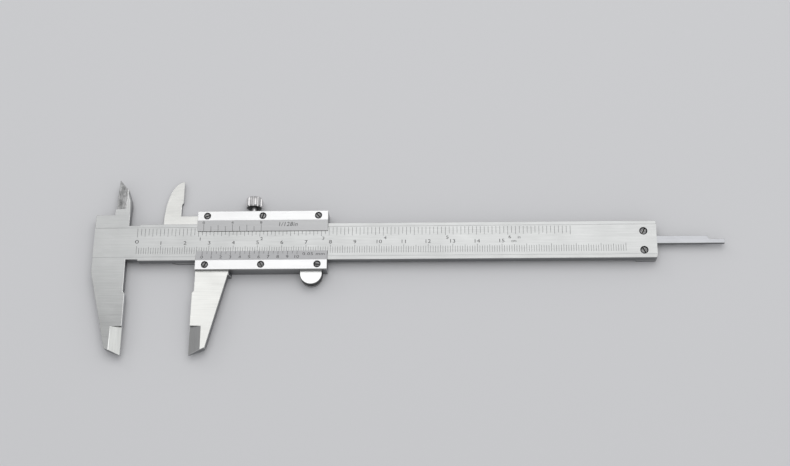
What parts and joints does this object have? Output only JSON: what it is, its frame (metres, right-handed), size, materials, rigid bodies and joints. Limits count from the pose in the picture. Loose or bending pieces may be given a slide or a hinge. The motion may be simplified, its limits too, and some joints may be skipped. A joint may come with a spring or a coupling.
{
  "type": "vernier caliper",
  "caption": "Steel vernier caliper with outside jaws, crossed knife-edge inside jaws, depth rod, bevelled metric and inch verniers, knurled lock screw and thumb rest.",
  "frame": {"origin": "centre of the footprint, on the surface that the slider's back and the end stop plate rest on", "axes": "+X along the beam from the fixed jaws to the depth rod's tip, +Y across the beam towards the inside jaws, +Z out of the graduated face"},
  "size_m": [0.2582, 0.0766, 0.007],
  "materials": {
    "beam_steel": "satin chrome over fine grinding marks",
    "slider_steel": "satin ground steel, cross-brushed",
    "vernier_plate": "bright lapped strip with a matt chrome bevel",
    "screw_steel": "black oxide",
    "spring_bronze": "rolled phosphor bronze strip",
    "knob_chrome": "knurled, dull chrome",
    "rod_steel": "drawn and ground"
  },
  "bodies": {
    "beam": {"main_beam": "beam_steel", "end_stop_plate": "beam_steel", "end_stop_screws": "screw_steel"},
    "slider": {"slider_body": "slider_steel", "upper_vernier_plate": "vernier_plate", "lower_vernier_plate": "vernier_plate", "upper_plate_screws": "screw_steel", "lower_plate_screws": "screw_steel", "depth_rod": "rod_steel", "depth_rod_rivets": "rod_steel", "thumb_rest": "slider_steel"},
    "gib": {"gib_spring": "spring_bronze"},
    "lock": {"lock_screw": "knob_chrome"}
  },
  "joints": [
    {"name": "slider_travel", "type": "slide", "parent": "beam", "child": "slider", "axis": [1, 0, 0], "range_m": [-0.02748, 0.125]},
    {"name": "gib_press", "type": "slide", "parent": "slider", "child": "gib", "axis": [0, -1, 0], "range_m": [-0.0003, 0.0001]},
    {"name": "lock_turn", "type": "hinge", "parent": "gib", "child": "lock", "pos_m": [-0.06335, 0.0227, 0.00355], "axis": [0, -1, 0], "range_deg": [-270.1, 90.1]}
  ],
  "couplings": [
    {"joint": "lock_turn", "follows": "gib_press", "rad_per_m": 15708}
  ]
}
